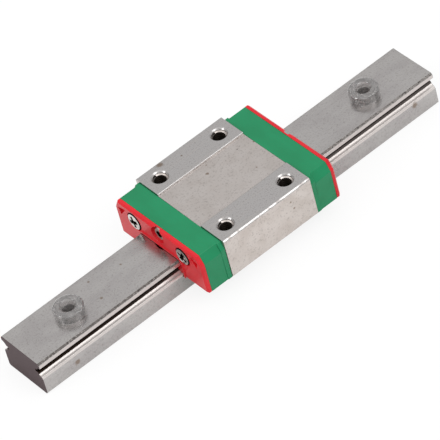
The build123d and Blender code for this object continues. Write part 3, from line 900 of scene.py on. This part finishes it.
class GUIDE_OT_grease_screws(bpy.types.Operator):
    """Build the set screws that close the grease ports"""

    bl_idname = "guide.grease_screws"
    bl_label = "Grease Screws"

    def execute(self, context):
        size = sizes()
        tints = colours()
        # Zinc plated steel: a softer shine than nickel, with dull patches 0.8 mm across, and painted shade in
        # the sockets.
        zinc = bright_metal(
            "zinc_plated_steel", tints.zinc, tints.screw_dull,
            waves=(1.2, 1.2, 1.2), roughness=(0.3, 0.45), painted_shade=socket_shade,
        )
        for end, sign in ENDS.items():
            node = f"grease_screw_{end}"
            low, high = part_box(node)
            total = high.x - low.x
            crest = (high.z - low.z) / 2
            core = crest - GREASE_THREAD_DEPTH * size.grease_pitch
            corner = size.socket_width / 2 / cos(pi / 6)
            bm = turned(((0, 0), (core, 0), (core, total), (0, total)))
            hexagon = bmesh.new()
            bmesh.ops.create_cone(
                hexagon, cap_ends=True, segments=6, radius1=corner, radius2=corner,
                depth=2 * size.socket_depth,
            )
            bmesh.ops.translate(hexagon, vec=(0, 0, total), verts=hexagon.verts)
            bm = cut_away(bm, hexagon)
            add_thread(bm, core, crest, size.grease_pitch, 0, total)
            bmesh.ops.recalc_face_normals(bm, faces=bm.faces)
            stand_screw(bm, node, sign)
            add_piece(f"{node}_threaded", bm, zinc, "carriage", "screw_steel", node)
        return {"FINISHED"}


class GUIDE_OT_turn_guides(bpy.types.Operator):
    """Build the half-round guides inside the end caps"""

    bl_idname = "guide.turn_guides"
    bl_label = "Turning Guides"

    def execute(self, context):
        size = sizes()
        # Acetal: black all through and the dullest of the guide's plastics.
        acetal = moulded_plastic(
            "moulded_black_acetal", colours().acetal, None, roughness=0.42, depth=0.004 * MM
        )
        disc = size.guide_radius
        channel = size.channel_radius
        angles = [(step / CHANNEL_STEPS - 0.5) * pi for step in range(CHANNEL_STEPS + 1)]
        arc = [(disc - channel * cos(angle), channel * sin(angle)) for angle in angles]
        for end, sign in ENDS.items():
            for side, hand in SIDES.items():
                node = f"turn_guide_{end}_{side}"
                low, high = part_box(node)
                half = (high.z - low.z) / 2
                bm = turned([(0, -half), (disc, -half), *arc, (disc, half), (0, half)])
                outer = high.y if hand > 0 else low.y
                seat = low.x if sign > 0 else high.x
                centre = (seat, outer - hand * (high.x - low.x), (low.z + high.z) / 2)
                bmesh.ops.translate(bm, vec=centre, verts=bm.verts)
                mouth = low.y if hand > 0 else high.y
                trim(bm, (seat, 0, 0), (-sign, 0, 0))
                trim(bm, (0, mouth, 0), (0, -hand, 0))
                add_piece(f"{node}_moulding", bm, acetal, "carriage", "guide_plastic", node)
        return {"FINISHED"}


def draw_out(bm, face, reach):
    """Extrude a wire's end along a straight line, and return its new end."""
    grown = bmesh.ops.extrude_face_region(bm, geom=[face])["geom"]
    verts = [item for item in grown if isinstance(item, bmesh.types.BMVert)]
    bmesh.ops.translate(bm, vec=reach, verts=verts)
    return next(item for item in grown if isinstance(item, bmesh.types.BMFace))


def bend_round(bm, face, centre, hand):
    """Carry a wire's end through a quarter turn, and return its new end."""
    spun = bmesh.ops.spin(
        bm, geom=[face, *face.edges, *face.verts], cent=centre, axis=(0, 0, hand), dvec=(0, 0, 0),
        angle=pi / 2, steps=BEND_STEPS, use_merge=False, use_normal_flip=False, use_duplicate=False,
    )
    return next(item for item in spun["geom_last"] if isinstance(item, bmesh.types.BMFace))


class GUIDE_OT_wires(bpy.types.Operator):
    """Build the bent wires that keep the loaded balls in the block"""

    bl_idname = "guide.wires"
    bl_label = "Retainer Wires"

    def execute(self, context):
        size = sizes()
        tints = colours()
        # Hard-drawn stainless wire: fine die lines along it, drawn 0.2 mm apart to show.
        drawn = bright_metal(
            "drawn_spring_wire", tints.wire, tints.rail_cloud, waves=(0.08, 5, 5), roughness=(0.2, 0.34)
        )
        for side, hand in SIDES.items():
            node = f"retainer_wire_{side}"
            low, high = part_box(node)
            radius = size.wire_diameter / 2
            bend = size.wire_bend
            line = low.y + radius if hand > 0 else high.y - radius
            tip = high.y if hand > 0 else low.y
            height = (low.z + high.z) / 2
            near, far = low.x + radius, high.x - radius
            bm = bmesh.new()
            bmesh.ops.create_circle(bm, cap_ends=True, radius=radius, segments=WIRE_SIDES)
            stand_along(bm, (near, tip, height), (0, -hand, 0))
            bm.faces.ensure_lookup_table()
            end = draw_out(bm, bm.faces[0], (0, line + hand * bend - tip, 0))
            end = bend_round(bm, end, (near + bend, line + hand * bend, height), hand)
            end = draw_out(bm, end, (far - near - 2 * bend, 0, 0))
            end = bend_round(bm, end, (far - bend, line + hand * bend, height), hand)
            draw_out(bm, end, (0, tip - line - hand * bend, 0))
            bmesh.ops.recalc_face_normals(bm, faces=bm.faces)
            add_piece(f"{node}_bent", bm, drawn, "carriage", "wire_steel", node)
        return {"FINISHED"}


class GUIDE_OT_balls(bpy.types.Operator):
    """Build the polished balls of both circuits"""

    bl_idname = "guide.balls"
    bl_label = "Balls"

    def execute(self, context):
        radius = sizes().ball_diameter / 2
        # Lapped bearing balls: a near mirror, with a faint change of gloss every 1.4 mm.
        polished = bright_metal(
            "polished_bearing_ball", colours().ball, None, waves=(0.7, 0.7, 0.7), roughness=(0.05, 0.1)
        )
        for node in sorted(name for name in frame["nodes"] if name.startswith("balls_")):
            bm = bmesh.new()
            for centre in ball_centres(node):
                place = Matrix.Translation(centre)
                bmesh.ops.create_icosphere(bm, subdivisions=BALL_LEVEL, radius=radius, matrix=place)
            add_piece(f"{node}_polished", bm, polished, "carriage", "ball_steel", node)
        return {"FINISHED"}


class GUIDE_OT_plugs(bpy.types.Operator):
    """Build the clear plugs in the rail's outer holes"""

    bl_idname = "guide.plugs"
    bl_label = "Stop Plugs"

    def execute(self, context):
        size = sizes()
        clear = clear_polyethylene()
        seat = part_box("rail")[1].z
        for end in ENDS:
            node = f"stop_plug_{end}"
            low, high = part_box(node)
            collar = (high.x - low.x) / 2
            bore = size.plug_bore / 2
            stem = size.plug_stem / 2
            mouth = size.plug_mouth / 2
            outline = (
                (bore, low.z), (stem, low.z), (stem, seat), (collar, seat), (collar, high.z),
                (mouth, high.z), (bore, high.z - mouth + bore),
            )
            bm = turned(outline)
            round_edges(bm, ring(bm, collar, high.z), size.plug_round, COLLAR_STEPS)
            round_edges(bm, ring(bm, mouth, high.z), MOUTH_ROUND, MOUTH_STEPS)
            centre = middle(node)
            bmesh.ops.translate(bm, vec=(centre.x, centre.y, 0), verts=bm.verts)
            add_piece(f"{node}_moulding", bm, clear, node, "clear_plastic", node)
        return {"FINISHED"}


# Stage

CAMERA_PLACE = Vector((-292.0, -528.9, 575.4)) * MM
CAMERA_TARGET = Vector((-3.06, -3.78, 8.0)) * MM
CAMERA_ROLL = radians(-15.79)
# The lens and its sensor in millimetres, and how far the camera sees in metres
CAMERA_LENS = 353.86
SENSOR_WIDTH = 36.0
CAMERA_REACH = 10.0

LAMP_DISTANCE = 0.8
# Each lamp's direction from the guide, its size in metres and its power in watts
LAMPS = {
    "key": (Vector((0.24, -0.63, 0.74)), 0.42, 1.35),
    "end": (Vector((-0.8, 0.15, 0.52)), 0.3, 1.0),
}

# Where the studio's walls are brightest, and how bright they are there and on the far side
BRIGHT_SIDE = (0.0, -0.2, 0.98)
BRIGHT_LEVEL = 1.1
DIM_LEVEL = 0.5

# The floor's half width, and its gap under the guide, which keeps the two faces apart
FLOOR_REACH = 2.0
FLOOR_GAP = 0.05 * MM
# How far the paper is pure white to the camera, in metal and through clear plastic
WHITE_TO_CAMERA = 0.85
WHITE_IN_METAL = 0.25
WHITE_THROUGH_CLEAR = 1.0
FIBRE_TONE = (0.9, 0.9, 0.9, 1.0)
WHITE = (1.0, 1.0, 1.0, 1.0)


def white_floor():
    """White paper that reads nearly pure white to the camera and keeps a faint shadow."""
    material = bpy.data.materials.new("white_paper")
    material.use_nodes = True
    tree = material.node_tree
    tree.nodes.clear()
    place = add_node(tree, "ShaderNodeTexCoord").outputs["Object"]
    # Bundles of fibres are about 1 mm apart.
    fibre = grain(tree, place, (0.9, 0.9, 0.9), 3.0)
    rays = add_node(tree, "ShaderNodeLightPath").outputs
    tint = layered(
        tree, colours().floor,
        (fibre, 0.04, FIBRE_TONE),
        (rays["Is Diffuse Ray"], 1.0, colours().floor_bounce),
    )
    paper = add_node(tree, "ShaderNodeBsdfDiffuse", {"Color": tint})
    glow = add_node(tree, "ShaderNodeEmission", {"Color": colours().floor, "Strength": 1.0})
    seen = strongest(
        tree,
        (rays["Is Camera Ray"], WHITE_TO_CAMERA),
        (rays["Is Glossy Ray"], WHITE_IN_METAL),
        (rays["Is Transmission Ray"], WHITE_THROUGH_CLEAR),
    )
    mixed = add_node(tree, "ShaderNodeMixShader", {0: seen, 1: paper, 2: glow})
    add_node(tree, "ShaderNodeOutputMaterial", {"Surface": mixed})
    return material


def studio_world():
    """Pale studio walls, brighter on one side, and pure white where the camera sees them."""
    world = bpy.data.worlds.new("pale_studio")
    world.use_nodes = True
    tree = world.node_tree
    tree.nodes.clear()
    direction = add_node(tree, "ShaderNodeTexCoord").outputs["Generated"]
    toward = add_node(tree, "ShaderNodeVectorMath", {0: direction, 1: BRIGHT_SIDE}, operation="DOT_PRODUCT")
    limits = {"Value": toward.outputs["Value"], "To Min": DIM_LEVEL, "To Max": BRIGHT_LEVEL}
    level = add_node(tree, "ShaderNodeMapRange", limits)
    light = add_node(tree, "ShaderNodeBackground", {"Color": WHITE, "Strength": level})
    plain = add_node(tree, "ShaderNodeBackground", {"Color": WHITE, "Strength": 1.0})
    rays = add_node(tree, "ShaderNodeLightPath").outputs
    seen = strongest(tree, (rays["Is Camera Ray"], 1.0), (rays["Is Transmission Ray"], 1.0))
    mixed = add_node(tree, "ShaderNodeMixShader", {0: seen, 1: light, 2: plain})
    add_node(tree, "ShaderNodeOutputWorld", {"Surface": mixed})
    return world


class GUIDE_OT_stage(bpy.types.Operator):
    """Build the floor, the lights and the camera"""

    bl_idname = "guide.stage"
    bl_label = "Stage"

    def execute(self, context):
        scene = context.scene
        bm = bmesh.new()
        bmesh.ops.create_grid(bm, x_segments=1, y_segments=1, size=FLOOR_REACH)
        bmesh.ops.translate(bm, vec=(0, 0, -FLOOR_GAP), verts=bm.verts)
        mesh = bpy.data.meshes.new("floor")
        bm.to_mesh(mesh)
        bm.free()
        mesh.materials.append(white_floor())
        floor = bpy.data.objects.new("floor", mesh)
        scene.collection.objects.link(floor)
        scene.world = studio_world()
        for name, (direction, size, power) in LAMPS.items():
            light = bpy.data.lights.new(name, "AREA")
            light.energy = power
            light.size = size
            lamp = bpy.data.objects.new(name, light)
            lamp.location = direction.normalized() * LAMP_DISTANCE
            lamp.rotation_euler = direction.to_track_quat("Z", "Y").to_euler()
            scene.collection.objects.link(lamp)
        lens = bpy.data.cameras.new("camera")
        lens.lens = CAMERA_LENS
        lens.sensor_width = SENSOR_WIDTH
        lens.clip_end = CAMERA_REACH
        camera = bpy.data.objects.new("camera", lens)
        level = (CAMERA_PLACE - CAMERA_TARGET).to_track_quat("Z", "Y").to_matrix().to_4x4()
        roll = Matrix.Rotation(CAMERA_ROLL, 4, "Z")
        camera.matrix_world = Matrix.Translation(CAMERA_PLACE) @ level @ roll
        scene.collection.objects.link(camera)
        scene.camera = camera
        scene.view_settings.view_transform = "Standard"
        return {"FINISHED"}


OPERATORS = (
    GUIDE_OT_rail,
    GUIDE_OT_block,
    GUIDE_OT_caps,
    GUIDE_OT_seals,
    GUIDE_OT_cap_screws,
    GUIDE_OT_grease_screws,
    GUIDE_OT_turn_guides,
    GUIDE_OT_wires,
    GUIDE_OT_balls,
    GUIDE_OT_plugs,
    GUIDE_OT_stage,
)


class GUIDE_PT_panel(bpy.types.Panel):
    """Buttons, sizes and colours of the linear guide"""

    bl_idname = "GUIDE_PT_panel"
    bl_label = "Linear Guide"
    bl_space_type = "VIEW_3D"
    bl_region_type = "UI"
    bl_category = "Linear Guide"

    def draw(self, context):
        layout = self.layout
        for operator in OPERATORS:
            layout.operator(operator.bl_idname)
        for group in (context.scene.guide_sizes, context.scene.guide_colours):
            box = layout.box()
            for name in group.__annotations__:
                box.prop(group, name)


CLASSES = (GuideSizes, GuideColours, *OPERATORS, GUIDE_PT_panel)


def register():
    for entry in CLASSES:
        bpy.utils.register_class(entry)
    bpy.types.Scene.guide_sizes = bpy.props.PointerProperty(type=GuideSizes)
    bpy.types.Scene.guide_colours = bpy.props.PointerProperty(type=GuideColours)


def unregister():
    del bpy.types.Scene.guide_colours
    del bpy.types.Scene.guide_sizes
    for entry in reversed(CLASSES):
        bpy.utils.unregister_class(entry)


def main():
    register()
    for operator in OPERATORS:
        group, name = operator.bl_idname.split(".")
        getattr(getattr(bpy.ops, group), name)()


if __name__ == "__main__":
    main()
